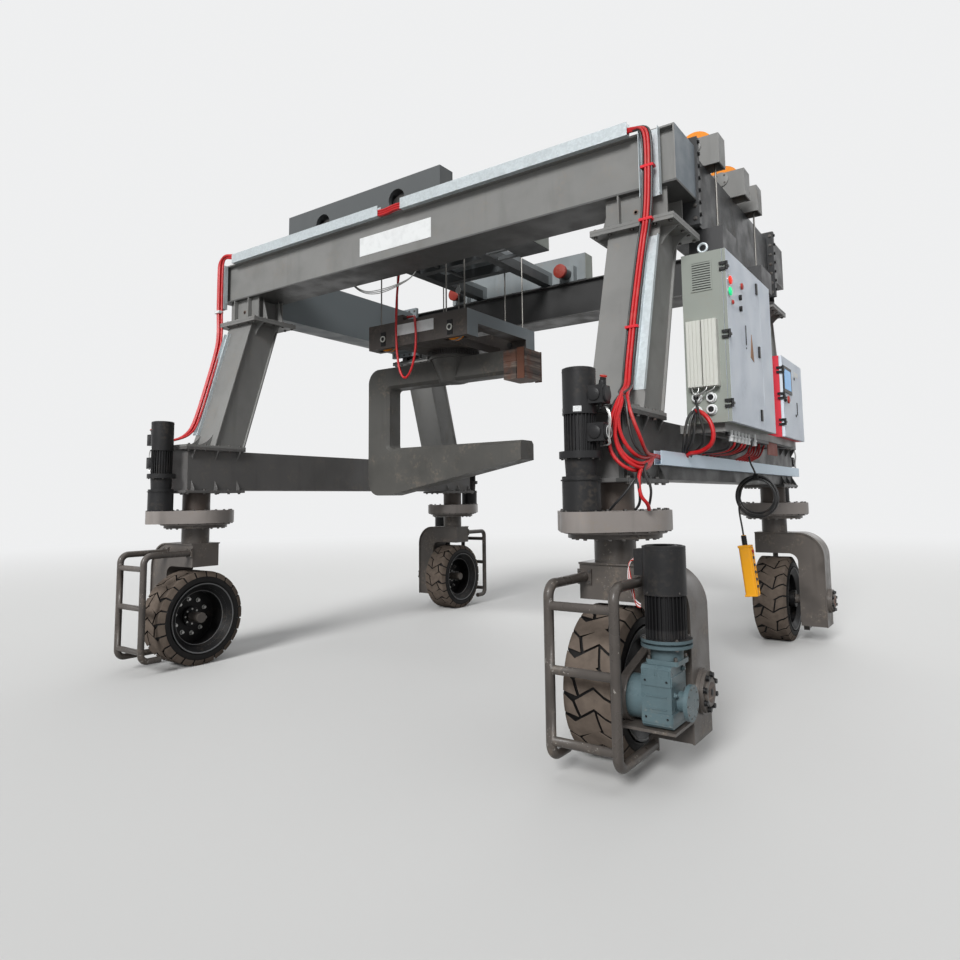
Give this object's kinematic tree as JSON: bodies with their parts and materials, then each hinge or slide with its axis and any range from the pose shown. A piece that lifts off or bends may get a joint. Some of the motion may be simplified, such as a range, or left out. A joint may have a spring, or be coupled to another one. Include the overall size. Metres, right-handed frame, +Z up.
{
  "type": "rubber tyred gantry crane",
  "caption": "Rubber tyred gantry crane with leaning legs, steered wheels, a rope hoist trolley and a slewing C hook with a tapered tongue for coils.",
  "frame": {"origin": "on the floor under the middle of the crane, between its four wheels", "axes": "+X along the main girders towards the cabinets, +Y along the direction of travel, +Z up"},
  "size_m": [5.806, 5.56, 4.9849],
  "materials": {
    "structure_paint": "satin",
    "motor_paint": "satin",
    "gearbox_paint": "satin",
    "guard_paint": "satin",
    "orange_paint": "satin",
    "rope_steel": "satin",
    "galvanised": "spangled",
    "cabinet_paint": "satin",
    "door_paint": "satin",
    "resistor_paint": "satin",
    "rim_paint": "satin",
    "tyre_rubber": "matt",
    "rusty_steel": "rusty",
    "black_cable": "satin",
    "red_cable": "satin",
    "pendant_yellow": "satin"
  },
  "bodies": {
    "gantry": {"sills": "structure_paint", "legs": "structure_paint", "girders": "structure_paint", "end_beams": "structure_paint", "rope_boxes": "structure_paint", "top_sheaves": "orange_paint", "anchor_ropes": "rope_steel", "slew_housings": "structure_paint", "steering_gearmotors": "motor_paint", "cable_trays": "galvanised", "cabinet_brackets": "structure_paint", "cabinet_shell": "cabinet_paint", "small_cabinet_shell": "cabinet_paint", "brake_resistors": "resistor_paint", "pendant_cable_upper": "black_cable", "pendant_coil": "black_cable", "pendant_cable_lower": "black_cable", "pendant": "pendant_yellow"},
    "fork_a": {"fork_a": "structure_paint", "guard_a": "guard_paint"},
    "wheel_a": {"tyre_a": "tyre_rubber", "rim_a": "rim_paint"},
    "fork_b": {"fork_b": "structure_paint", "guard_b": "guard_paint", "drive_gearbox_b": "gearbox_paint", "drive_motor_b": "motor_paint"},
    "wheel_b": {"tyre_b": "tyre_rubber", "rim_b": "rim_paint"},
    "fork_c": {"fork_c": "structure_paint", "guard_c": "guard_paint"},
    "wheel_c": {"tyre_c": "tyre_rubber", "rim_c": "rim_paint"},
    "fork_d": {"fork_d": "structure_paint", "guard_d": "guard_paint", "drive_gearbox_d": "gearbox_paint", "drive_motor_d": "motor_paint"},
    "wheel_d": {"tyre_d": "tyre_rubber", "rim_d": "rim_paint"},
    "cabinet_door": {"cabinet_door": "door_paint"},
    "small_cabinet_door": {"small_cabinet_door": "door_paint"},
    "trolley": {"trolley_frame": "structure_paint", "hoists": "motor_paint", "hoist_ropes": "rope_steel", "head_block_cable": "red_cable"},
    "trolley_wheels_left": {"trolley_wheels_left": "rim_paint"},
    "trolley_wheels_right": {"trolley_wheels_right": "rim_paint"},
    "head_block": {"head_block": "structure_paint", "head_block_sheaves": "orange_paint"},
    "c_hook": {"c_hook": "structure_paint", "counterweight": "rusty_steel"}
  },
  "joints": [
    {"name": "steer_a", "type": "hinge", "parent": "gantry", "child": "fork_a", "pos_m": [-2.31, -2.134, 1.371], "axis": [0, 0, 1], "range_deg": [-90, 90]},
    {"name": "roll_a", "type": "hinge", "parent": "fork_a", "child": "wheel_a", "pos_m": [-2.31, -2.134, 0.457], "axis": [1, 0, 0], "continuous": true},
    {"name": "steer_b", "type": "hinge", "parent": "gantry", "child": "fork_b", "pos_m": [2.31, -2.134, 1.371], "axis": [0, 0, 1], "range_deg": [-90, 90]},
    {"name": "roll_b", "type": "hinge", "parent": "fork_b", "child": "wheel_b", "pos_m": [2.31, -2.134, 0.457], "axis": [1, 0, 0], "continuous": true},
    {"name": "steer_c", "type": "hinge", "parent": "gantry", "child": "fork_c", "pos_m": [2.31, 2.134, 1.371], "axis": [0, 0, 1], "range_deg": [-90, 90]},
    {"name": "roll_c", "type": "hinge", "parent": "fork_c", "child": "wheel_c", "pos_m": [2.31, 2.134, 0.457], "axis": [1, 0, 0], "continuous": true},
    {"name": "steer_d", "type": "hinge", "parent": "gantry", "child": "fork_d", "pos_m": [-2.31, 2.134, 1.371], "axis": [0, 0, 1], "range_deg": [-90, 90]},
    {"name": "roll_d", "type": "hinge", "parent": "fork_d", "child": "wheel_d", "pos_m": [-2.31, 2.134, 0.457], "axis": [1, 0, 0], "continuous": true},
    {"name": "cabinet_door_swing", "type": "hinge", "parent": "gantry", "child": "cabinet_door", "pos_m": [2.89, -1.406, 2.736], "axis": [0, 0, -1], "range_deg": [0, 120]},
    {"name": "small_cabinet_door_swing", "type": "hinge", "parent": "gantry", "child": "small_cabinet_door", "pos_m": [2.89, 0.206, 2.478], "axis": [0, 0, -1], "range_deg": [0, 120]},
    {"name": "trolley_travel", "type": "slide", "parent": "gantry", "child": "trolley", "axis": [1, 0, 0], "range_m": [-0.27, 1.51]},
    {"name": "trolley_wheels_left_roll", "type": "hinge", "parent": "trolley", "child": "trolley_wheels_left", "pos_m": [-1.14, 0, 4.4005], "axis": [0, 1, 0], "continuous": true},
    {"name": "trolley_wheels_right_roll", "type": "hinge", "parent": "trolley", "child": "trolley_wheels_right", "pos_m": [-0.12, 0, 4.4005], "axis": [0, 1, 0], "continuous": true},
    {"name": "hoist", "type": "slide", "parent": "trolley", "child": "head_block", "axis": [0, 0, 1], "range_m": [-1.5, 0.45], "deforming": ["hoist_ropes", "head_block_cable"]},
    {"name": "hook_slew", "type": "hinge", "parent": "head_block", "child": "c_hook", "pos_m": [-0.63, 0, 3.218], "axis": [0, 0, 1], "range_deg": [-180, 180]}
  ]
}
